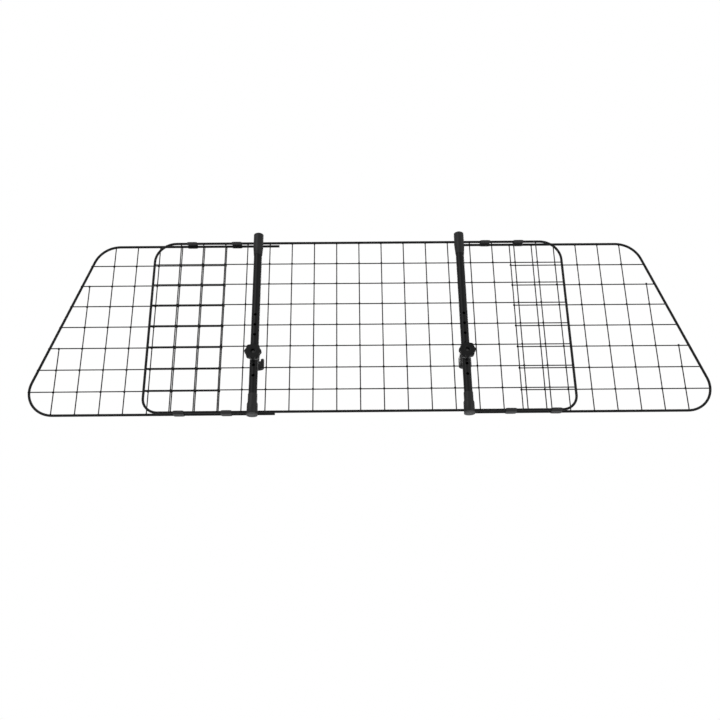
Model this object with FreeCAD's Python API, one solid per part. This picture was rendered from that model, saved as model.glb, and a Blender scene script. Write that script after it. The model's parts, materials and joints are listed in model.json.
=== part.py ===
import FreeCAD, Part
import math
import os
from FreeCAD import Vector

# Cargo barrier for a car: a welded mesh panel on two posts that hook round the headrest stems,
# with a mesh wing on each side that slides along the panel's rods in clips.
# X runs across the car, Y points from the load space towards the seats, Z is up.
# The pieces are modelled from the middle of the centre panel: X = 0 on its middle wire,
# Y = 0 on its rod, Z = 0 on its middle row. They are saved with the origin midway between
# the two headrest stems, at the height of the hooks.
# All lengths are in millimetres.

# Clearances, shared by every piece
running_gap = 0.3
fit_gap = 0.05
cut_overrun = 1.0

# Rods and wires of the three panels
mesh_pitch = 50.0
rod_diameter = 5.5
wire_diameter = 2.5
weld_sink = 0.04
wire_overhang = 1.5
butt_depth = 1.0
wing_spacing = 13.5
mesh_margin = 45.0
short_wire_margin = 20.0

# Centre panel, measured between rod axes
frame_width = 910.0
frame_height = 402.0
frame_top_radius = 46.0
frame_bottom_radius = 32.0
frame_side_shift = -1.0

# Wings, whose reaches are measured outwards from the outermost upright wire,
# and how far that wire stands outside the centre panel's side rod
wing_stand_out = {"left": 193.0, "right": 238.5}
wing_travel_in = 45.0
wing_slant_run = 143.4
wing_mid_reach = 3.2
wing_top_radius = 58.0
wing_bottom_radius = 55.0
wing_arm_overrun = 119.0

# Both wings are one part. The right one is turned round, so its mesh stands behind its rods
wing_mesh_side = {"left": -1, "right": 1}

# Clips that tie a wing rod to a panel rod
clip_length = 22.0
clip_taper_length = 4.0
clip_wall = 1.2
clip_end_wall = 0.7
clip_wire_gap = 0.3

# Each clip's place, as a share of the straight run that is left for it beside the post
clip_place_shares = {
    "left_top_inner_clip": 0.292,
    "left_top_outer_clip": 0.870,
    "left_bottom_inner_clip": 0.295,
    "left_bottom_outer_clip": 0.826,
    "right_top_inner_clip": 0.355,
    "right_top_outer_clip": 0.792,
    "right_bottom_inner_clip": 0.482,
    "right_bottom_outer_clip": 0.995,
}

# Posts
post_spacing = 450.0
post_setback = 12.0
tube_diameter = 18.0
tube_wall = 1.2
tube_top_above_rod = 13.0
tube_bottom_below_rod = 5.0
adjust_hole_diameter = 6.6
adjust_hole_pitch = 23.5
adjust_holes_above = 4
adjust_holes_below = 2

# Post cap with its jaw for the top rod
cap_diameter = 22.0
cap_crown_above_rod = 18.5
cap_shoulder_above_rod = 14.0
cap_collar_below_rod = 20.0
cap_skirt_below_rod = 38.0
cap_skirt_wall = 0.5
jaw_width = 18.0
jaw_rear_reach = 7.5
jaw_half_height = 6.5
jaw_corner_round = 2.5

# Post foot with its jaw for the bottom rod, and the plate under it
foot_top_above_rod = 35.0
foot_neck_diameter = 20.0
foot_collar_above_rod = 13.0
foot_collar_rise = 4.0
foot_diameter = 23.0
foot_depth_below_rod = 9.0
foot_plate_diameter = 23.4
foot_plate_thickness = 3.0
foot_screw_spread = 13.0
foot_screw_head_diameter = 4.4
foot_screw_head_height = 1.2
foot_screw_diameter = 2.5

# Headrest hook, bent from flat strip, with its rubber liner
hook_drop = 80.0
stem_reach = 33.0
stem_offset = 3.0
stem_space_diameter = 16.0
liner_thickness = 3.0
hook_thickness = 3.0
hook_height = 20.0
hook_bend_radius = 2.8
hook_plate_reach = 10.0
hook_open_angle = 125.0

# Bolt, washer and saddles of the clamp
bolt_diameter = 6.0
bolt_head_diameter = 11.0
bolt_head_height = 3.2
bolt_neck_side = 6.0
bolt_neck_gap = 0.2
saddle_width = 16.0
saddle_height = 18.0
rear_saddle_thickness = 2.5
front_saddle_thickness = 3.5
washer_diameter = 29.0
washer_thickness = 1.6

# Star knob
knob_lobe_count = 8
knob_tip_diameter = 36.0
knob_valley_diameter = 30.5
knob_lobe_radius = 4.6
knob_hub_diameter = 19.0
knob_hub_length = 4.0
knob_star_length = 12.5
knob_edge_inset = 2.2
knob_face_dish = 0.8
knob_recess_diameter = 9.0
knob_recess_depth = 6.0
knob_insert_diameter = 9.8
knob_insert_length = 10.0

# Places that follow from the sizes above
rod_radius = rod_diameter / 2
wire_radius = wire_diameter / 2
tube_radius = tube_diameter / 2
top_rod_z = frame_height / 2
bottom_rod_z = -frame_height / 2
cross_offset = rod_radius + wire_radius - weld_sink
upright_offset = cross_offset - wire_diameter + weld_sink
channel_radius = rod_radius + running_gap
post_y = -post_setback
tube_front_y = post_y - tube_radius
tube_rear_y = post_y + tube_radius
hook_z = -hook_drop
hook_plate_front_y = tube_rear_y + rear_saddle_thickness
hook_plate_mid_y = hook_plate_front_y + hook_thickness / 2
hook_plate_rear_y = hook_plate_front_y + hook_thickness
washer_rear_y = tube_front_y - front_saddle_thickness
washer_front_y = washer_rear_y - washer_thickness
knob_rear_y = washer_front_y - running_gap
knob_star_rear_y = knob_rear_y - knob_hub_length
knob_front_y = knob_star_rear_y - knob_star_length
along_x = Vector(1, 0, 0)
along_y = Vector(0, 1, 0)
along_z = Vector(0, 0, 1)
side_sign = {"left": -1, "right": 1}


def post_x(side):
    """Where a post's axis stands along X."""
    return side_sign[side] * post_spacing / 2


def round_bar(start, end, diameter):
    """A straight round bar between two points."""
    run = end - start
    return Part.makeCylinder(diameter / 2, run.Length, start, run)


def bent_path(corners, radii):
    """Straight runs through the corners, joined by tangent arcs."""
    edges = []
    start = corners[0]
    for before, corner, after, radius in zip(corners, corners[1:], corners[2:], radii):
        to_before = (before - corner).normalize()
        to_after = (after - corner).normalize()
        half_angle = to_before.getAngle(to_after) / 2
        reach = radius / math.tan(half_angle)
        enter = corner + to_before * reach
        leave = corner + to_after * reach
        bisector = (to_before + to_after).normalize()
        middle = corner + bisector * (radius / math.sin(half_angle) - radius)
        edges.append(Part.LineSegment(start, enter).toShape())
        edges.append(Part.Arc(enter, middle, leave).toShape())
        start = leave
    edges.append(Part.LineSegment(start, corners[-1]).toShape())
    return Part.Wire(edges)


def bent_rod(corners, radii):
    """A round rod bent along a path."""
    section = Part.Wire(Part.makeCircle(rod_radius, corners[0], corners[1] - corners[0]))
    return bent_path(corners, radii).makePipeShell([section], True, False)


def turned(points, centre):
    """A solid of revolution about the upright through centre, from points of radius and height."""
    corners = [Vector(centre.x + radius, centre.y, height) for radius, height in points]
    face = Part.Face(Part.makePolygon(corners + corners[:1]))
    return face.revolve(centre, along_z, 360)


def turned_along_y(points, centre):
    """A solid of revolution about the Y line through centre, from points of radius and Y."""
    corners = [Vector(centre.x + radius, y, centre.z) for radius, y in points]
    face = Part.Face(Part.makePolygon(corners + corners[:1]))
    return face.revolve(centre, along_y, 360)


def panel_side_x(side):
    """X of the centre panel's side rod."""
    return frame_side_shift + side_sign[side] * frame_width / 2


def mesh_steps(half_length):
    """Whole pitches that fit each side of the middle, as a list of distances."""
    count = int((half_length - mesh_margin) / mesh_pitch)
    return [step * mesh_pitch for step in range(-count, count + 1)]


def row_heights():
    """Heights of the cross wires."""
    return mesh_steps(frame_height / 2)


# Centre panel


def centre_frame():
    """One rod bent into a closed rounded rectangle."""
    left = panel_side_x("left")
    right = panel_side_x("right")
    corners = [
        Vector(0, 0, top_rod_z),
        Vector(right, 0, top_rod_z),
        Vector(right, 0, bottom_rod_z),
        Vector(left, 0, bottom_rod_z),
        Vector(left, 0, top_rod_z),
        Vector(0, 0, top_rod_z),
    ]
    radii = [frame_top_radius, frame_bottom_radius, frame_bottom_radius, frame_top_radius]
    return bent_rod(corners, radii)


def butted_wire(x, y, low, high, frame):
    """An upright wire whose ends are shaped to the rods they are welded to."""
    wire = round_bar(Vector(x, y, low), Vector(x, y, high), wire_diameter)
    return wire.cut(frame)


def centre_upright_wires():
    """Upright wires butted between the top and the bottom rod."""
    frame = centre_frame()
    wires = []
    for x in mesh_steps(frame_width / 2):
        side = "right" if x > frame_side_shift else "left"
        inset = abs(panel_side_x(side) - x)
        low = bottom_rod_z + corner_rise(inset, frame_bottom_radius) + butt_depth
        high = top_rod_z - corner_rise(inset, frame_top_radius) - butt_depth
        wires.append(butted_wire(x, upright_offset, low, high, frame))
    return wires


def corner_rise(inset, radius):
    """How far a rod has turned from its straight run, at an inset from the side rod."""
    if inset >= radius:
        return 0
    return radius - math.sqrt(radius ** 2 - (radius - inset) ** 2)


def centre_cross_wires():
    """Cross wires welded behind the uprights and behind the side rods."""
    left = panel_side_x("left") - wire_overhang
    right = panel_side_x("right") + wire_overhang
    wires = []
    for z in row_heights():
        start = Vector(left, cross_offset, z)
        wires.append(round_bar(start, Vector(right, cross_offset, z), wire_diameter))
    return wires


# Wings


def slant_reach(z):
    """Reach of the sloping rod's axis beyond the outermost upright wire, at a height."""
    return wing_mid_reach - wing_slant_run * z / frame_height


def wing_x(side, reach):
    """X of a point that lies a reach beyond a wing's outermost upright wire."""
    return panel_side_x(side) + side_sign[side] * (wing_stand_out[side] + reach)


def wing_wire_reaches():
    """Reaches of a wing's upright wires, as many as stay clear of the posts in their travel."""
    rooms = [abs(wing_x(side, 0)) - post_spacing / 2 - wing_travel_in for side in side_sign]
    count = int(min(rooms) / mesh_pitch) + 1
    return [-index * mesh_pitch for index in range(count)]


def wing_inner_reach():
    """Reach of the innermost upright wire, which lies inwards, so it is negative."""
    return wing_wire_reaches()[-1]


def bottom_bend_centre():
    """Centre of the wing's bottom bend: X is a reach, Z a height."""
    slope = math.atan(wing_slant_run / frame_height)
    setback = wing_bottom_radius * math.tan((math.pi / 2 + slope) / 2)
    return Vector(slant_reach(bottom_rod_z) - setback, 0, bottom_rod_z + wing_bottom_radius)


def rim_reach(z):
    """Reach of the wing rod's axis at a height, on the slope or on the bottom bend."""
    slope = math.atan(wing_slant_run / frame_height)
    centre = bottom_bend_centre()
    if z > centre.z + wing_bottom_radius * math.sin(slope):
        return slant_reach(z)
    return centre.x + math.sqrt(wing_bottom_radius ** 2 - (z - centre.z) ** 2)


def wing_low_height(reach):
    """Height of the bottom arm's axis under a reach."""
    centre = bottom_bend_centre()
    if reach < centre.x:
        return bottom_rod_z
    return centre.z - math.sqrt(wing_bottom_radius ** 2 - (reach - centre.x) ** 2)


def wing_high_height(reach):
    """Height of the wing rod's axis over a reach, on the top arm, its bend or the slope."""
    slope = math.atan(wing_slant_run / frame_height)
    setback = wing_top_radius * math.tan((math.pi / 2 - slope) / 2)
    bend_start = slant_reach(top_rod_z) - setback
    bend_end = bend_start + wing_top_radius * math.cos(slope)
    if reach < bend_start:
        return top_rod_z
    if reach < bend_end:
        turned_in = math.sqrt(wing_top_radius ** 2 - (reach - bend_start) ** 2)
        return top_rod_z - wing_top_radius + turned_in
    return (wing_mid_reach - reach) * frame_height / wing_slant_run


def wing_wire_top(reach):
    """Where an upright wire ends: on the top arm, or on the last row clear of the slope."""
    rod = wing_high_height(reach)
    if rod > row_heights()[-1] + short_wire_margin:
        return rod - butt_depth
    rows = [z for z in row_heights() if z < rod - short_wire_margin]
    return rows[-1] + wire_overhang


def wing_frame(side):
    """One rod: the top arm, the sloping end and the bottom arm."""
    arm_end = wing_x(side, wing_inner_reach() - wing_arm_overrun)
    y = wing_spacing
    corners = [
        Vector(arm_end, y, top_rod_z),
        Vector(wing_x(side, slant_reach(top_rod_z)), y, top_rod_z),
        Vector(wing_x(side, slant_reach(bottom_rod_z)), y, bottom_rod_z),
        Vector(arm_end, y, bottom_rod_z),
    ]
    return bent_rod(corners, [wing_top_radius, wing_bottom_radius])


def wing_upright_wires(side):
    """Upright wires butted on the wing's rods, the two outermost ones short."""
    frame = wing_frame(side)
    y = wing_spacing + wing_mesh_side[side] * upright_offset
    wires = []
    for reach in wing_wire_reaches():
        low = wing_low_height(reach) + butt_depth
        high = wing_wire_top(reach)
        wires.append(butted_wire(wing_x(side, reach), y, low, high, frame))
    return wires


def wing_cross_wires(side):
    """Cross wires from the innermost upright wire to the sloping rod, on the mesh's outer face."""
    y = wing_spacing + wing_mesh_side[side] * cross_offset
    inner = wing_x(side, wing_inner_reach() - wire_overhang)
    wires = []
    for z in row_heights():
        outer = wing_x(side, rim_reach(z) + wire_overhang)
        wires.append(round_bar(Vector(inner, y, z), Vector(outer, y, z), wire_diameter))
    return wires


# Clips and jaws


def slot_section(x, z, radius):
    """Outline round both rods in the plane across X, at a radius about their axes."""
    front = Vector(x, 0, z)
    rear = Vector(x, wing_spacing, z)
    up = along_z * radius
    out = along_y * radius
    edges = [
        Part.LineSegment(front + up, rear + up).toShape(),
        Part.Arc(rear + up, rear + out, rear - up).toShape(),
        Part.LineSegment(rear - up, front - up).toShape(),
        Part.Arc(front - up, front - out, front + up).toShape(),
    ]
    return Part.Wire(edges)


def rod_clip(x_mid, rod_z, inward, mesh_side):
    """A spring clip: hooked under the panel rod, bridged to the wing rod, open to the mesh."""
    half = clip_length / 2
    places = [-half, clip_taper_length - half, half - clip_taper_length, half]
    walls = [clip_end_wall, clip_wall, clip_wall, clip_end_wall]
    sections = []
    for place, wall in zip(places, walls):
        sections.append(slot_section(x_mid + place, rod_z, channel_radius + wall))
    body = Part.makeLoft(sections, True, True)
    start = Vector(x_mid - half - cut_overrun, 0, rod_z)
    length = clip_length + 2 * cut_overrun
    front_bore = Part.makeCylinder(rod_radius, length, start, along_x)
    rear_bore = Part.makeCylinder(channel_radius, length, start + along_y * wing_spacing, along_x)
    mouth_front = upright_offset - wire_radius - clip_wire_gap
    depth = channel_radius + clip_wall + cut_overrun
    mouth_end = wing_spacing - mouth_front
    if mesh_side > 0:
        mouth_end = wing_spacing - channel_radius - clip_wall
    mouth_low = rod_z - depth if inward < 0 else rod_z - rod_radius
    corner = Vector(start.x, mouth_front, mouth_low)
    mouth = Part.makeBox(length, mouth_end - mouth_front, depth + rod_radius, corner)
    body = body.cut(front_bore).cut(rear_bore).cut(mouth)
    if mesh_side > 0:
        body = body.cut(rear_mouth(start.x, length, rod_z, inward, depth))
    return body


def rear_mouth(low_x, length, rod_z, inward, depth):
    """Room for the ends of a wing's wires that stand behind the wing rod."""
    near_y = wing_spacing + upright_offset - wire_radius - clip_wire_gap
    wire_end = butt_depth - clip_wire_gap
    low_z = rod_z - depth if inward < 0 else rod_z + wire_end
    return Part.makeBox(length, depth, depth - wire_end, Vector(low_x, near_y, low_z))


def clip_place(name):
    """X of a clip's middle, between its post and the bend of the panel rod."""
    side = name.split("_")[0]
    bend = frame_top_radius if "top" in name else frame_bottom_radius
    start = post_x(side)
    end = panel_side_x(side) - side_sign[side] * (bend + clip_length / 2 + running_gap)
    return start + clip_place_shares[name] * (end - start)


# Posts


def post_tube(side):
    """A round tube with a row of adjusting holes from front to back."""
    x = post_x(side)
    low = bottom_rod_z - tube_bottom_below_rod
    length = top_rod_z + tube_top_above_rod - low
    base = Vector(x, post_y, low)
    tube = Part.makeCylinder(tube_radius, length, base)
    tube = tube.cut(Part.makeCylinder(tube_radius - tube_wall, length, base))
    reach = tube_diameter + 2 * cut_overrun
    start_y = tube_front_y - cut_overrun
    holes = []
    for index in range(-adjust_holes_below, adjust_holes_above + 1):
        start = Vector(x, start_y, hook_z + index * adjust_hole_pitch)
        holes.append(Part.makeCylinder(adjust_hole_diameter / 2, reach, start, along_y))
    return tube.cut(Part.makeCompound(holes))


def jaw_outline(x, rod_z):
    """Side view of the jaw block: from the post's axis to behind the panel rod."""
    low = rod_z - jaw_half_height
    high = rod_z + jaw_half_height
    rear = jaw_rear_reach
    turn = jaw_corner_round
    lean = turn * (1 - math.sqrt(2) / 2)
    edges = [
        Part.LineSegment(Vector(x, post_y, low), Vector(x, rear - turn, low)).toShape(),
        Part.Arc(Vector(x, rear - turn, low), Vector(x, rear - lean, low + lean),
                 Vector(x, rear, low + turn)).toShape(),
        Part.LineSegment(Vector(x, rear, low + turn), Vector(x, rear, high - turn)).toShape(),
        Part.Arc(Vector(x, rear, high - turn), Vector(x, rear - lean, high - lean),
                 Vector(x, rear - turn, high)).toShape(),
        Part.LineSegment(Vector(x, rear - turn, high), Vector(x, post_y, high)).toShape(),
        Part.LineSegment(Vector(x, post_y, high), Vector(x, post_y, low)).toShape(),
    ]
    return Part.Wire(edges)


def jaw_block(side, rod_z):
    """The block behind the post that carries the panel rod."""
    section = Part.Face(jaw_outline(post_x(side) - jaw_width / 2, rod_z))
    return section.extrude(along_x * jaw_width)


def jaw_groove(side, rod_z, inward):
    """A round-bottomed groove across the jaw, open towards the mesh."""
    reach = jaw_width + 2 * cut_overrun
    depth = jaw_half_height + cut_overrun
    start = Vector(post_x(side) - reach / 2, 0, rod_z)
    round_part = Part.makeCylinder(channel_radius, reach, start, along_x)
    corner = start - along_y * channel_radius
    if inward < 0:
        corner = corner - along_z * depth
    slot = Part.makeBox(reach, 2 * channel_radius, depth, corner)
    return round_part.fuse(slot)


def post_cap(side):
    """The moulded top end: a socket for the tube, a domed crown and the jaw."""
    axis = Vector(post_x(side), post_y, 0)
    radius = cap_diameter / 2
    crown = top_rod_z + cap_crown_above_rod
    shoulder = top_rod_z + cap_shoulder_above_rod
    collar = top_rod_z - cap_collar_below_rod
    skirt = top_rod_z - cap_skirt_below_rod
    rim = tube_radius + cap_skirt_wall
    body = domed_sleeve(axis, skirt, collar, shoulder, crown, rim, radius)
    body = body.fuse(jaw_block(side, top_rod_z))
    socket_low = Vector(axis.x, axis.y, skirt)
    socket_length = top_rod_z + tube_top_above_rod - skirt
    socket = Part.makeCylinder(tube_radius + fit_gap, socket_length, socket_low)
    return body.cut(socket).cut(jaw_groove(side, top_rod_z, -1))


def domed_sleeve(axis, skirt, collar, shoulder, crown, rim, radius):
    """Solid of revolution: a flared skirt, a straight wall and a domed top."""
    side = Vector(axis.x + radius, axis.y, shoulder)
    top = Vector(axis.x, axis.y, crown)
    drop = crown - shoulder
    ball = (radius ** 2 + drop ** 2) / (2 * drop)
    half_angle = math.asin(radius / ball) / 2
    middle_radius = ball * math.sin(half_angle)
    middle_height = crown - ball * (1 - math.cos(half_angle))
    middle = Vector(axis.x + middle_radius, axis.y, middle_height)
    corners = [Vector(axis.x, axis.y, skirt), Vector(axis.x + rim, axis.y, skirt),
               Vector(axis.x + radius, axis.y, collar), side]
    edges = Part.makePolygon(corners).Edges
    edges.append(Part.Arc(side, middle, top).toShape())
    edges.append(Part.LineSegment(top, corners[0]).toShape())
    return Part.Face(Part.Wire(edges)).revolve(axis, along_z, 360)


def foot_base_z():
    return bottom_rod_z - foot_depth_below_rod


def foot_screw_places(side):
    """Where the two screws under the foot stand."""
    half = foot_screw_spread / 2
    return [(post_x(side) - half, post_y), (post_x(side) + half, post_y)]


def post_foot(side):
    """The moulded bottom end: a socket for the tube, a stepped collar and the jaw."""
    axis = Vector(post_x(side), post_y, 0)
    base = foot_base_z()
    top = bottom_rod_z + foot_top_above_rod
    collar = bottom_rod_z + foot_collar_above_rod
    radius = foot_diameter / 2
    neck = foot_neck_diameter / 2
    sleeve = turned(
        [(0, base), (radius, base), (radius, collar), (neck, collar + foot_collar_rise),
         (neck, top), (0, top)],
        axis,
    )
    body = sleeve.fuse(jaw_block(side, bottom_rod_z))
    socket_low = Vector(axis.x, axis.y, bottom_rod_z - tube_bottom_below_rod)
    socket = Part.makeCylinder(tube_radius + fit_gap, top - socket_low.z, socket_low)
    return body.cut(socket).cut(jaw_groove(side, bottom_rod_z, 1))


def foot_plate(side):
    """The flat round plate under the foot, with two countersunk screw holes."""
    base = foot_base_z()
    low = base - foot_plate_thickness
    centre = Vector(post_x(side), post_y, low)
    plate = Part.makeCylinder(foot_plate_diameter / 2, foot_plate_thickness, centre)
    cuts = []
    for x, y in foot_screw_places(side):
        bore_radius = foot_screw_diameter / 2 + fit_gap
        cuts.append(Part.makeCylinder(bore_radius, foot_plate_thickness, Vector(x, y, low)))
        wide = foot_screw_head_diameter / 2 + fit_gap
        height = foot_screw_head_height + fit_gap
        cuts.append(Part.makeCone(wide, bore_radius, height, Vector(x, y, low)))
    return plate.cut(Part.makeCompound(cuts))


def foot_screws(side):
    """Two countersunk screws that hold the plate."""
    low = foot_base_z() - foot_plate_thickness
    head = foot_screw_head_diameter / 2
    shank = foot_screw_diameter / 2
    neck = low + foot_screw_head_height
    end = foot_base_z()
    screws = []
    for x, y in foot_screw_places(side):
        points = [(0, low), (head, low), (shank, neck), (shank, end), (0, end)]
        screws.append(turned(points, Vector(x, y, 0)))
    return screws


# Headrest hooks


def hook_path(side, radius):
    """Arc round the headrest stem, from the arm to the open end, at a radius."""
    centre = stem_centre(side)
    angle = math.radians(180 - hook_open_angle - 90)
    start = centre - along_x * radius
    middle = centre + along_y * radius
    end = centre + Vector(math.cos(angle), math.sin(angle), 0) * radius
    return Part.Arc(start, middle, end).toShape()


def stem_centre(side):
    return Vector(post_x(side) + stem_offset, stem_reach, hook_z)


def strip_along(path, start, run, thickness, height):
    """A strip on edge, swept along a level path."""
    across = run.cross(along_z) * (thickness / 2)
    up = along_z * (height / 2)
    points = [start + across + up, start + across - up, start - across - up, start - across + up]
    section = Part.makePolygon(points + points[:1])
    return path.makePipeShell([section], True, False)


def hook_square_hole(side):
    """Square hole for the neck of the carriage bolt."""
    width = bolt_neck_side + 2 * bolt_neck_gap
    corner = Vector(post_x(side) - width / 2, hook_plate_front_y - cut_overrun, hook_z - width / 2)
    return Part.makeBox(width, hook_thickness + 2 * cut_overrun, width, corner)


def headrest_hook(side):
    """Strip that lies behind the post, runs back and turns round the headrest stem."""
    x = post_x(side)
    y = hook_plate_mid_y
    radius = stem_space_diameter / 2 + liner_thickness + hook_thickness / 2
    arm_x = x + stem_offset - radius
    start = Vector(x + hook_plate_reach, y, hook_z)
    corners = [start, Vector(arm_x, y, hook_z), Vector(arm_x, stem_reach, hook_z)]
    edges = bent_path(corners, [hook_bend_radius]).Edges + [hook_path(side, radius)]
    strip = strip_along(Part.Wire(edges), start, along_x * -1, hook_thickness, hook_height)
    return strip.cut(hook_square_hole(side))


def hook_liner(side):
    """Rubber strip inside the hook, against the headrest stem."""
    radius = (stem_space_diameter + liner_thickness) / 2
    path = Part.Wire([hook_path(side, radius)])
    start = stem_centre(side) - along_x * radius
    return strip_along(path, start, along_y, liner_thickness, hook_height)


def carriage_bolt(side):
    """Domed bolt whose square neck sits in the hook and whose shank carries the knob."""
    x = post_x(side)
    seat = hook_plate_rear_y
    crown = seat + bolt_head_height
    head_radius = bolt_head_diameter / 2
    chord = (head_radius ** 2 + bolt_head_height ** 2) / (2 * bolt_head_height)
    ball = Part.makeSphere(chord, Vector(x, crown - chord, hook_z))
    puck_start = Vector(x, seat, hook_z)
    puck = Part.makeCylinder(head_radius, bolt_head_height, puck_start, along_y)
    head = ball.common(puck)
    tip_y = knob_front_y + knob_recess_depth
    shank = round_bar(Vector(x, tip_y, hook_z), Vector(x, seat, hook_z), bolt_diameter)
    half = bolt_neck_side / 2
    neck_corner = Vector(x - half, hook_plate_front_y, hook_z - half)
    neck = Part.makeBox(bolt_neck_side, hook_thickness, bolt_neck_side, neck_corner)
    return head.fuse([shank, neck])


def clamp_saddle(side, near_y, far_y):
    """A small block with a hollow for the tube and a hole for the bolt."""
    x = post_x(side)
    low = min(near_y, far_y)
    corner = Vector(x - saddle_width / 2, low, hook_z - saddle_height / 2)
    block = Part.makeBox(saddle_width, abs(far_y - near_y), saddle_height, corner)
    tube_start = Vector(x, post_y, hook_z - saddle_height)
    hollow = Part.makeCylinder(tube_radius, 2 * saddle_height, tube_start)
    bore_start = Vector(x, low - cut_overrun, hook_z)
    bore_length = abs(far_y - near_y) + 2 * cut_overrun
    bore = Part.makeCylinder(adjust_hole_diameter / 2, bore_length, bore_start, along_y)
    return block.cut(Part.makeCompound([hollow])).cut(bore)


def rear_saddle(side):
    """Between the tube and the hook."""
    return clamp_saddle(side, tube_rear_y - tube_radius / 2, hook_plate_front_y - running_gap)


def front_saddle(side):
    """Between the tube and the washer."""
    return clamp_saddle(side, tube_front_y + tube_radius / 2, washer_rear_y)


def clamp_washer(side):
    """The broad washer that the knob turns on."""
    centre = Vector(post_x(side), washer_front_y, hook_z)
    disc = Part.makeCylinder(washer_diameter / 2, washer_thickness, centre, along_y)
    return disc.cut(Part.makeCylinder(adjust_hole_diameter / 2, washer_thickness, centre, along_y))


# Star knobs


def star_outline(x, y):
    """Lobed outline of the knob: a round lobe and a hollow for each finger."""
    tip = knob_tip_diameter / 2
    valley = knob_valley_diameter / 2
    step = 2 * math.pi / knob_lobe_count
    lobe_centre = tip - knob_lobe_radius
    join_angle = step / 4
    join_radius = lobe_join_radius(lobe_centre, join_angle)
    edges = []
    for index in range(knob_lobe_count):
        angle = index * step
        start = knob_point(x, y, join_radius, angle - join_angle)
        crest = knob_point(x, y, tip, angle)
        end = knob_point(x, y, join_radius, angle + join_angle)
        hollow = knob_point(x, y, valley, angle + step / 2)
        following = knob_point(x, y, join_radius, angle + step - join_angle)
        edges.append(Part.Arc(start, crest, end).toShape())
        edges.append(Part.Arc(end, hollow, following).toShape())
    return Part.Wire(edges)


def lobe_join_radius(lobe_centre, join_angle):
    """Distance from the knob's axis at which a lobe's circle crosses the join line."""
    along = lobe_centre * math.cos(join_angle)
    aside = lobe_centre * math.sin(join_angle)
    return along + math.sqrt(knob_lobe_radius ** 2 - aside ** 2)


def knob_point(x, y, radius, angle):
    return Vector(x + radius * math.sin(angle), y, hook_z + radius * math.cos(angle))


def star_knob(side):
    """Moulded knob: lobed rim with a rounded edge, hub, insert pocket and front recess."""
    x = post_x(side)
    axis = Vector(x, 0, hook_z)
    tip = knob_tip_diameter / 2
    inset = knob_edge_inset
    dish = knob_face_dish
    rim = Part.Face(star_outline(x, knob_star_rear_y)).extrude(along_y * -knob_star_length)
    recess_radius = knob_recess_diameter / 2
    shape = turned_along_y(
        [(0, knob_star_rear_y), (tip - inset, knob_star_rear_y), (tip, knob_star_rear_y - inset),
         (tip, knob_front_y + inset), (tip - inset, knob_front_y),
         (recess_radius + inset, knob_front_y), (recess_radius, knob_front_y + dish),
         (0, knob_front_y + dish)],
        axis,
    )
    hub_start = Vector(x, knob_rear_y, hook_z)
    hub = Part.makeCylinder(knob_hub_diameter / 2, knob_hub_length, hub_start, along_y * -1)
    body = rim.common(shape).fuse(hub)
    recess_start = Vector(x, knob_front_y, hook_z)
    recess = Part.makeCylinder(recess_radius, knob_recess_depth, recess_start, along_y)
    pocket_start = Vector(x, knob_rear_y - knob_insert_length, hook_z)
    pocket_radius = knob_insert_diameter / 2 + fit_gap
    pocket = Part.makeCylinder(pocket_radius, knob_insert_length, pocket_start, along_y)
    bore_length = knob_rear_y - knob_front_y
    bore = Part.makeCylinder(bolt_diameter / 2 + fit_gap, bore_length, recess_start, along_y)
    return body.cut(Part.makeCompound([pocket])).cut(recess).cut(bore)


def knob_insert(side):
    """Threaded metal insert in the knob."""
    x = post_x(side)
    bore = bolt_diameter / 2 + fit_gap
    outer = knob_insert_diameter / 2 + fit_gap
    front = knob_rear_y - knob_insert_length
    points = [(bore, front), (outer, front), (outer, knob_rear_y), (bore, knob_rear_y)]
    return turned_along_y(points, Vector(x, 0, hook_z))


# Build


def save(node, shapes):
    """Write one node as a STEP file, with the origin midway between the headrest stems."""
    solids = shapes if isinstance(shapes, list) else [shapes]
    shape = Part.makeCompound(solids) if len(solids) > 1 else solids[0].copy()
    count = sum(len(piece.Solids) for piece in solids)
    if count != len(solids) or not shape.isValid():
        raise ValueError(node + " is not one closed solid per piece")
    shape.translate(Vector(-stem_offset, -stem_reach, hook_drop))
    shape.exportStep(os.path.join("parts", node + ".step"))
    print(node, count, round(shape.Volume))


def build():
    os.makedirs("parts", exist_ok=True)
    save("centre_frame", centre_frame())
    save("centre_upright_wires", centre_upright_wires())
    save("centre_cross_wires", centre_cross_wires())
    for name in clip_place_shares:
        rod_z, inward = (top_rod_z, -1) if "top" in name else (bottom_rod_z, 1)
        mesh_side = wing_mesh_side[name.split("_")[0]]
        save(name, rod_clip(clip_place(name), rod_z, inward, mesh_side))
    for side in side_sign:
        save(side + "_wing_frame", wing_frame(side))
        save(side + "_wing_upright_wires", wing_upright_wires(side))
        save(side + "_wing_cross_wires", wing_cross_wires(side))
        save(side + "_post_tube", post_tube(side))
        save(side + "_post_cap", post_cap(side))
        save(side + "_post_foot", post_foot(side))
        save(side + "_foot_plate", foot_plate(side))
        save(side + "_foot_screws", foot_screws(side))
        save(side + "_rear_saddle", rear_saddle(side))
        save(side + "_front_saddle", front_saddle(side))
        save(side + "_clamp_washer", clamp_washer(side))
        save(side + "_headrest_hook", headrest_hook(side))
        save(side + "_hook_liner", hook_liner(side))
        save(side + "_carriage_bolt", carriage_bolt(side))
        save(side + "_star_knob", star_knob(side))
        save(side + "_knob_insert", knob_insert(side))


build()
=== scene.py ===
import json
import math

import bmesh
import bpy
from mathutils import Matrix, Vector


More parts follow.
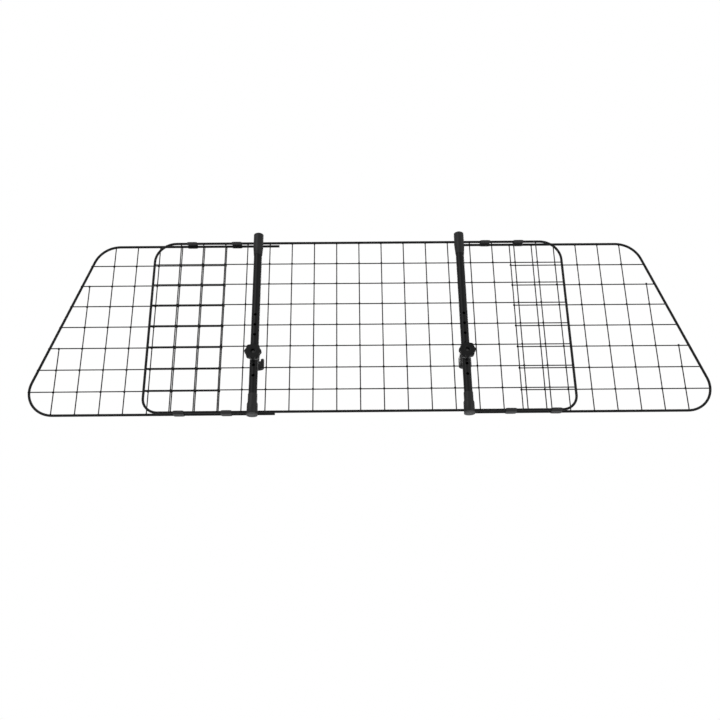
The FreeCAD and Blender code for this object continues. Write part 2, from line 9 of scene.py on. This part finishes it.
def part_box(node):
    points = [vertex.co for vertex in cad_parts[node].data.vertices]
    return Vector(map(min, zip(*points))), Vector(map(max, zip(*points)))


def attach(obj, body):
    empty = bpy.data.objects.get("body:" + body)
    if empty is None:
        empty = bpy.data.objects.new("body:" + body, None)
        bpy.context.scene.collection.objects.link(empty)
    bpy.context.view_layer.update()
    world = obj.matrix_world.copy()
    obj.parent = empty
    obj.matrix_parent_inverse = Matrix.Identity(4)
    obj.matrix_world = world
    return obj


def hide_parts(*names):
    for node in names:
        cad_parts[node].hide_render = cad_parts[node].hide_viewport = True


# Cargo barrier: a welded wire mesh panel with a sliding mesh wing at each side, carried by two
# posts that hook round headrest stems. Metres, X across the car, Y towards the seats, Z up.

SIDES = ("left", "right")

# Each mesh panel and the body that carries it
PANELS = {"centre": "centre_panel", "left_wing": "left_wing", "right_wing": "right_wing"}

# Mesh wires and their weld beads, which have half sizes along X, Y and Z
MESH_PITCH = 0.05
WIRE_RADIUS = 0.00125
CROSS_BEAD = Vector((0.0027, 0.002, 0.0027))
END_BEAD = Vector((0.0021, 0.0018, 0.0017))
BEAD_RIPPLE = 0.1

# Screw heads under the feet, with the recess and the crown as shares of the head's radius
SCREW_HEAD_RADIUS = 0.0022
SCREW_HEAD_RINGS = 10
SCREW_HEAD_SPOKES = 40
SCREW_CROWN = 0.1
SCREW_RECESS_DEPTH = 0.45
SCREW_RECESS_ARM = 0.65
SCREW_RECESS_HALF_WIDTH = 0.17

# How far the edges of moulded and pressed pieces are rounded, by the end of a node's name
EDGE_WIDTHS = {
    "headrest_hook": 0.0006,
    "hook_liner": 0.0005,
    "saddle": 0.0008,
    "clamp_washer": 0.0003,
    "foot_plate": 0.0006,
    "clip": 0.0003,
    "post_cap": 0.0006,
    "post_foot": 0.0006,
}
EDGE_SEGMENTS = 3
SHARP_ANGLE = math.radians(40)
FLAT_ANGLE = math.radians(1)
JOIN_DISTANCE = 1e-6

# The photograph's viewpoint: turns in degrees, lens and sensor in millimetres. A camera that
# isn't turned looks straight down, and it looks level after a pitch of 90 degrees.
CAMERA_PLACE = Vector((-0.0198, -1.7676, -0.7267))
LEVEL_PITCH = 90.0
CAMERA_YAW = -0.542
CAMERA_PITCH = 22.565
CAMERA_ROLL = -0.657
CAMERA_LENS = 44.0
CAMERA_SENSOR = 36.0

# Studio, with lamp sizes in metres and powers in watts
WHITE = (1.0, 1.0, 1.0, 1.0)
SKY_COLOUR = (0.93, 0.95, 1.0, 1.0)
SKY_STRENGTH = 0.55
FLOOR_HEIGHT = -0.95
FLOOR_HALF_SIZE = 9.0
FLOOR_LEVEL = 0.86
FLOOR_GLOW = 0.5
LAMP_TARGET = Vector((0, 0, 0.05))
LAMPS = {
    "key_lamp": {"place": Vector((-2.2, -2.6, 1.9)), "size": (1.8, 1.8), "power": 85},
    "fill_lamp": {"place": Vector((2.6, -2.0, 0.6)), "size": (1.6, 2.2), "power": 45},
    "back_lamp": {"place": Vector((0.6, 2.6, 2.0)), "size": (2.4, 1.4), "power": 60},
}

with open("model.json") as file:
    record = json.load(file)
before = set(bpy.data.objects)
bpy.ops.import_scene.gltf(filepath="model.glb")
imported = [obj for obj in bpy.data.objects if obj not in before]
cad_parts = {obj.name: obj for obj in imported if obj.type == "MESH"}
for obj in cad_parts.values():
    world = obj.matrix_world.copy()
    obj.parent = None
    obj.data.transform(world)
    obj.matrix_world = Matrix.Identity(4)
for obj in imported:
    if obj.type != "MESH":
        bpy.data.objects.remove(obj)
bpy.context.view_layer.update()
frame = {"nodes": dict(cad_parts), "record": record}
nodes = frame["nodes"]
BODY_OF = {
    member: body
    for body, members in frame["record"]["behaviour"]["bodies"].items()
    for member in members
}
SLOT_OF = {part["node"]: part["material_slot"] for part in frame["record"]["subparts"]}


# Camera


def place_camera():
    """The photograph's viewpoint: low, in front of the load side, looking up."""
    data = bpy.data.cameras.new("photo_camera")
    data.sensor_width = CAMERA_SENSOR
    data.lens = CAMERA_LENS
    camera = bpy.data.objects.new("photo_camera", data)
    bpy.context.scene.collection.objects.link(camera)
    yaw = Matrix.Rotation(math.radians(CAMERA_YAW), 4, "Z")
    pitch = Matrix.Rotation(math.radians(LEVEL_PITCH + CAMERA_PITCH), 4, "X")
    roll = Matrix.Rotation(math.radians(CAMERA_ROLL), 4, "Z")
    camera.matrix_world = Matrix.Translation(CAMERA_PLACE) @ yaw @ pitch @ roll
    bpy.context.scene.camera = camera


place_camera()


# Materials


class Link:
    """A node's output that can be added, multiplied and so on."""

    def __init__(self, paint, socket):
        self.paint = paint
        self.socket = socket

    def maths(self, operation, first, second):
        return self.paint.node("ShaderNodeMath", {"operation": operation}, {0: first, 1: second})

    def __add__(self, other):
        return self.maths("ADD", self, other)

    def __radd__(self, other):
        return self.maths("ADD", other, self)

    def __mul__(self, other):
        return self.maths("MULTIPLY", self, other)

    def __rmul__(self, other):
        return self.maths("MULTIPLY", other, self)


class Paint:
    """One material and the nodes that make its finish."""

    def __init__(self, name, tree=None):
        if tree is None:
            self.material = bpy.data.materials.new(name)
            self.material.use_nodes = True
            tree = self.material.node_tree
        self.tree = tree
        self.tree.nodes.clear()

    def node(self, kind, settings=None, inputs=None, output=0):
        """Adds a node: its settings first, then the values or links of its sockets."""
        made = self.tree.nodes.new(kind)
        for name, value in (settings or {}).items():
            setattr(made, name, value)
        for name, value in (inputs or {}).items():
            socket = made.inputs[name]
            if isinstance(value, Link):
                self.tree.links.new(value.socket, socket)
            else:
                socket.default_value = value
        return Link(self, made.outputs[output]) if len(made.outputs) else None

    def place(self):
        return self.node("ShaderNodeTexCoord", output="Object")

    def noise(self, scale, detail, roughness=0.5):
        pattern = {"Scale": scale, "Detail": detail, "Roughness": roughness}
        inputs = {"Vector": self.place(), **pattern}
        return self.node("ShaderNodeTexNoise", None, inputs, "Fac")

    def patches(self, noise, low, high):
        """A mask: nothing where the noise is below low, full where it is above high."""
        inputs = {"Value": noise, "From Min": low, "From Max": high}
        return self.node("ShaderNodeMapRange", {"clamp": True}, inputs)

    def blend(self, share, first, second):
        """A mix of two colours, which has its share and colours at sockets 0, 6 and 7."""
        inputs = {0: share, 6: first, 7: second}
        return self.node("ShaderNodeMix", {"data_type": "RGBA"}, inputs, output=2)

    def bump(self, height, strength, distance):
        inputs = {"Height": height, "Strength": strength, "Distance": distance}
        return self.node("ShaderNodeBump", None, inputs)

    def finish(self, colour, roughness, normal, metallic=0.0, specular=0.5):
        inputs = {
            "Base Color": colour,
            "Roughness": roughness,
            "Metallic": metallic,
            "Specular IOR Level": specular,
            "Normal": normal,
        }
        surface = self.node("ShaderNodeBsdfPrincipled", None, inputs)
        self.node("ShaderNodeOutputMaterial", None, {"Surface": surface})
        return self.material


def grey(level, warmth=0.0):
    """A grey whose red is raised and whose blue is lowered by the share called warmth."""
    return (level * (1 + warmth), level, level * (1 - warmth), 1.0)


def powder_coat(name, level, grain):
    """Satin powder coat: a fine orange-peel skin with thin, paler places."""
    paint = Paint(name)
    peel = paint.noise(scale=grain, detail=3.0, roughness=0.55)
    cloud = paint.patches(paint.noise(scale=22.0, detail=3.0), low=0.35, high=0.7)
    specks = paint.noise(scale=grain * 0.45, detail=4.0, roughness=0.7)
    dust = paint.patches(specks, low=0.56, high=0.74)
    even, cloudy, dusty = grey(level), grey(level * 1.35, warmth=-0.02), grey(level * 3.2)
    colour = paint.blend(dust * 0.25, paint.blend(cloud, even, cloudy), dusty)
    rough = 0.36 + cloud * 0.08 + dust * 0.1
    skin = paint.bump(peel, strength=0.22, distance=0.0004)
    return paint.finish(colour, rough, skin, specular=0.06)


def moulded(name, level, rough_low, shine=0.1):
    """Moulded plastic: an even spark-eroded grain, faint flow marks and light scuffs."""
    paint = Paint(name)
    grain = paint.noise(scale=2600.0, detail=2.0, roughness=0.6)
    swirl = paint.noise(scale=60.0, detail=4.0, roughness=0.6)
    scratch = paint.noise(scale=420.0, detail=5.0, roughness=0.75)
    flow = paint.patches(swirl, low=0.35, high=0.7)
    scuff = paint.patches(scratch, low=0.6, high=0.8)
    even, flowed, scuffed = grey(level), grey(level * 1.3), grey(level * 2.6)
    colour = paint.blend(scuff * 0.3, paint.blend(flow, even, flowed), scuffed)
    rough = rough_low + flow * 0.08 + scuff * 0.08
    skin = paint.bump(grain, strength=0.3, distance=0.0002)
    return paint.finish(colour, rough, skin, specular=shine)


def soft_rubber(name, level_low, level_high):
    """Rubber liner: dull, with a dusty bloom."""
    paint = Paint(name)
    cloud = paint.noise(scale=160.0, detail=5.0, roughness=0.65)
    bloom = paint.patches(cloud, low=0.4, high=0.75)
    grain = paint.noise(scale=1500.0, detail=3.0, roughness=0.6)
    colour = paint.blend(bloom, grey(level_low), grey(level_high, warmth=0.02))
    rough = 0.7 + bloom * 0.15
    skin = paint.bump(grain, strength=0.25, distance=0.0003)
    return paint.finish(colour, rough, skin, specular=0.2)


def turned_metal(name, colour_low, colour_high, rough_low):
    """Bare or plated metal: fine turning marks round the bolt's axis and a little tarnish."""
    paint = Paint(name)
    rings = {"Vector": paint.place(), "Scale": 1800.0, "Distortion": 0.6, "Detail": 2.0}
    marks = paint.node("ShaderNodeTexWave", {"bands_direction": "Y"}, rings, "Fac")
    stain = paint.noise(scale=240.0, detail=4.0, roughness=0.6)
    tarnish = paint.patches(stain, low=0.4, high=0.75)
    colour = paint.blend(tarnish, colour_high, colour_low)
    rough = rough_low + tarnish * 0.15
    skin = paint.bump(marks, strength=0.1, distance=0.0001)
    return paint.finish(colour, rough, skin, metallic=1.0)


rod_coat = powder_coat("rod_powder_coat", level=0.006, grain=1500.0)
wire_coat = powder_coat("wire_powder_coat", level=0.006, grain=2200.0)
tube_coat = powder_coat("tube_powder_coat", level=0.006, grain=1100.0)
hook_coat = powder_coat("hook_powder_coat", level=0.013, grain=1100.0)
post_plastic = moulded("post_plastic", level=0.011, rough_low=0.46)
clip_plastic = moulded("clip_plastic", level=0.018, rough_low=0.5)
plate_plastic = moulded("foot_plate_plastic", level=0.038, rough_low=0.5)
knob_plastic = moulded("knob_plastic", level=0.006, rough_low=0.44, shine=0.06)
liner_rubber = soft_rubber("liner_rubber", level_low=0.018, level_high=0.045)
bolt_steel = turned_metal("blackened_steel", grey(0.015), grey(0.05), rough_low=0.42)
washer_steel = turned_metal("dark_plated_steel", grey(0.12), grey(0.28), rough_low=0.4)
screw_steel = turned_metal("blackened_screw_steel", grey(0.01), grey(0.03), rough_low=0.42)
dull_brass, clean_brass = (0.1, 0.07, 0.03, 1), (0.3, 0.22, 0.1, 1)
insert_brass = turned_metal("insert_brass", dull_brass, clean_brass, rough_low=0.3)

# Each node's finish, by the end of its name
FINISHES = {
    "frame": rod_coat,
    "wires": wire_coat,
    "clip": clip_plastic,
    "post_tube": tube_coat,
    "post_cap": post_plastic,
    "post_foot": post_plastic,
    "foot_plate": plate_plastic,
    "foot_screws": screw_steel,
    "saddle": post_plastic,
    "headrest_hook": hook_coat,
    "hook_liner": liner_rubber,
    "carriage_bolt": bolt_steel,
    "clamp_washer": washer_steel,
    "star_knob": knob_plastic,
    "knob_insert": insert_brass,
}


def dress_nodes():
    """Gives every modelled node its finish."""
    for name, node in nodes.items():
        for ending, material in FINISHES.items():
            if name.endswith(ending):
                node.data.materials.clear()
                node.data.materials.append(material)


dress_nodes()


# Pieces


def add_piece(name, shape, body, material, slot, *replaced):
    """Makes an object of a finished mesh and fixes it to a body."""
    mesh = bpy.data.meshes.new(name)
    shape.to_mesh(mesh)
    shape.free()
    mesh.shade_smooth()
    mesh.materials.append(material)
    piece = bpy.data.objects.new(name, mesh)
    bpy.context.scene.collection.objects.link(piece)
    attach(piece, body)
    if replaced:
        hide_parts(*replaced)
    return piece


def solid_mesh(node):
    """A working copy of a modelled piece's mesh, with its split edges joined."""
    shape = bmesh.new()
    shape.from_mesh(nodes[node].data)
    bmesh.ops.remove_doubles(shape, verts=shape.verts, dist=JOIN_DISTANCE)
    return shape


def round_edges(node, width):
    """Stands in for a hard-edged piece, with edges rounded as moulding or pressing leaves them."""
    shape = solid_mesh(node)
    bmesh.ops.dissolve_limit(shape, angle_limit=FLAT_ANGLE, verts=shape.verts, edges=shape.edges)
    material = nodes[node].data.materials[0]
    piece = add_piece(node + "_rounded", shape, BODY_OF[node], material, SLOT_OF[node], node)
    bevel = piece.modifiers.new("rounded_edges", "BEVEL")
    bevel.width = width
    bevel.segments = EDGE_SEGMENTS
    bevel.limit_method = "ANGLE"
    bevel.angle_limit = SHARP_ANGLE
    bevel.harden_normals = True


def round_all_edges():
    for node in nodes:
        for ending, width in EDGE_WIDTHS.items():
            if node.endswith(ending):
                round_edges(node, width)


def connected_corners(shape):
    """The corners of each separate wire of a mesh."""
    unseen = set(shape.verts)
    while unseen:
        reached = [unseen.pop()]
        corners = []
        while reached:
            vert = reached.pop()
            corners.append(vert.co.copy())
            for edge in vert.link_edges:
                other = edge.other_vert(vert)
                if other in unseen:
                    unseen.remove(other)
                    reached.append(other)
        yield corners


def wire_runs(node):
    """The lowest and highest corner of each wire's box, wire by wire across the panel."""
    shape = solid_mesh(node)
    runs = []
    for corners in connected_corners(shape):
        low = Vector([min(axis) for axis in zip(*corners)])
        high = Vector([max(axis) for axis in zip(*corners)])
        runs.append((low, high))
    shape.free()
    return sorted(runs, key=lambda run: (run[0].x, run[0].z))


def add_bead(shape, centre, size):
    """One bead of weld metal, a little uneven, each with its own ripple."""
    turn = (9 * centre.x + 5 * centre.z) / MESH_PITCH
    made = bmesh.ops.create_icosphere(shape, subdivisions=2, radius=1.0)
    for vert in made["verts"]:
        way = vert.co.copy()
        ripple = 1 + BEAD_RIPPLE * math.sin(3 * way.x + turn) * math.cos(4 * way.z - turn)
        vert.co = centre + Vector(a * b for a, b in zip(way, size)) * ripple


def weld_beads(panel, body):
    """Beads where the wires of a panel cross, and where they meet its rods."""
    uprights = wire_runs(panel + "_upright_wires")
    crosses = wire_runs(panel + "_cross_wires")
    shape = bmesh.new()
    for low, high in uprights:
        upright = (low + high) / 2
        for end, way in ((low.z, 1), (high.z, -1)):
            add_bead(shape, Vector((upright.x, upright.y, end + way * END_BEAD.z / 2)), END_BEAD)
        for first, last in crosses:
            cross = (first + last) / 2
            across = first.x < upright.x < last.x
            if across and low.z - WIRE_RADIUS < cross.z < high.z + WIRE_RADIUS:
                middle = Vector((upright.x, (upright.y + cross.y) / 2, cross.z))
                add_bead(shape, middle, CROSS_BEAD)
    add_piece(panel + "_weld_beads", shape, body, wire_coat, "mesh_wire")


def screw_head(shape, centre, radius):
    """A countersunk head seen from below: slightly domed, with a cross-shaped recess."""
    depth = radius * SCREW_RECESS_DEPTH
    rows = []
    for ring in range(1, SCREW_HEAD_RINGS + 1):
        share = ring / SCREW_HEAD_RINGS
        row = []
        for spoke in range(SCREW_HEAD_SPOKES):
            angle = 2 * math.pi * spoke / SCREW_HEAD_SPOKES
            x, y = share * math.cos(angle), share * math.sin(angle)
            in_cross = min(abs(x), abs(y)) < SCREW_RECESS_HALF_WIDTH and share < SCREW_RECESS_ARM
            lift = depth if in_cross else radius * SCREW_CROWN * share ** 2
            row.append(shape.verts.new(centre + Vector((x * radius, y * radius, lift))))
        rows.append(row)
    middle = shape.verts.new(centre + Vector((0, 0, depth)))
    for spoke in range(SCREW_HEAD_SPOKES):
        after = (spoke + 1) % SCREW_HEAD_SPOKES
        shape.faces.new((middle, rows[0][after], rows[0][spoke]))
        for inner, outer in zip(rows, rows[1:]):
            shape.faces.new((inner[spoke], inner[after], outer[after], outer[spoke]))


def foot_screw_heads(side):
    """The heads of the two screws under a foot, in place of the plain ones."""
    node = side + "_foot_screws"
    low, high = (Vector(corner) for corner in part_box(node))
    shape = bmesh.new()
    for x in (low.x + SCREW_HEAD_RADIUS, high.x - SCREW_HEAD_RADIUS):
        screw_head(shape, Vector((x, (low.y + high.y) / 2, low.z)), SCREW_HEAD_RADIUS)
    add_piece(side + "_screw_heads", shape, BODY_OF[node], screw_steel, SLOT_OF[node], node)


round_all_edges()
for panel, body in PANELS.items():
    weld_beads(panel, body)
for side in SIDES:
    foot_screw_heads(side)


# Floor, light and background


def straight_sight(paint):
    """One for rays of the camera and for what metal and glass show of the surroundings."""
    seen = paint.node("ShaderNodeLightPath", output="Is Camera Ray")
    mirrored = paint.node("ShaderNodeLightPath", output="Is Glossy Ray")
    through = paint.node("ShaderNodeLightPath", output="Is Transmission Ray")
    return seen + mirrored + through


def light_world():
    """A soft sky for the object, and plain white wherever the background is seen."""
    world = bpy.data.worlds.new("studio")
    bpy.context.scene.world = world
    world.use_nodes = True
    paint = Paint("studio", world.node_tree)
    sky = {"Color": SKY_COLOUR, "Strength": SKY_STRENGTH}
    soft = paint.node("ShaderNodeBackground", None, sky)
    plain = paint.node("ShaderNodeBackground", None, {"Color": WHITE, "Strength": 1.0})
    mixed = paint.node("ShaderNodeMixShader", None, {0: straight_sight(paint), 1: soft, 2: plain})
    paint.node("ShaderNodeOutputWorld", None, {"Surface": mixed})


def white_floor():
    """Matt white that keeps a shadow, and glows only where it is seen."""
    paint = Paint("white_floor")
    matt = paint.node("ShaderNodeBsdfDiffuse", None, {"Color": grey(FLOOR_LEVEL)})
    glow = paint.node("ShaderNodeEmission", None, {"Color": WHITE, "Strength": FLOOR_GLOW})
    lit = paint.node("ShaderNodeAddShader", None, {0: matt, 1: glow})
    mixed = paint.node("ShaderNodeMixShader", None, {0: straight_sight(paint), 1: matt, 2: lit})
    paint.node("ShaderNodeOutputMaterial", None, {"Surface": mixed})
    return paint.material


def lay_floor():
    """A plain floor below the viewpoint."""
    mesh = bpy.data.meshes.new("floor")
    shape = bmesh.new()
    bmesh.ops.create_grid(shape, x_segments=2, y_segments=2, size=FLOOR_HALF_SIZE)
    shape.to_mesh(mesh)
    shape.free()
    mesh.materials.append(white_floor())
    floor = bpy.data.objects.new("floor", mesh)
    floor.location = (0, 0, FLOOR_HEIGHT)
    bpy.context.scene.collection.objects.link(floor)


def hang_lamp(name, place, size, power):
    """A soft rectangular lamp that faces the barrier."""
    data = bpy.data.lights.new(name, "AREA")
    data.shape = "RECTANGLE"
    data.size, data.size_y = size
    data.energy = power
    lamp = bpy.data.objects.new(name, data)
    lamp.location = place
    lamp.rotation_euler = (LAMP_TARGET - place).to_track_quat("-Z", "Y").to_euler()
    bpy.context.scene.collection.objects.link(lamp)


light_world()
lay_floor()
for name, lamp in LAMPS.items():
    hang_lamp(name, lamp["place"], lamp["size"], lamp["power"])
bpy.context.scene.view_settings.view_transform = "Standard"
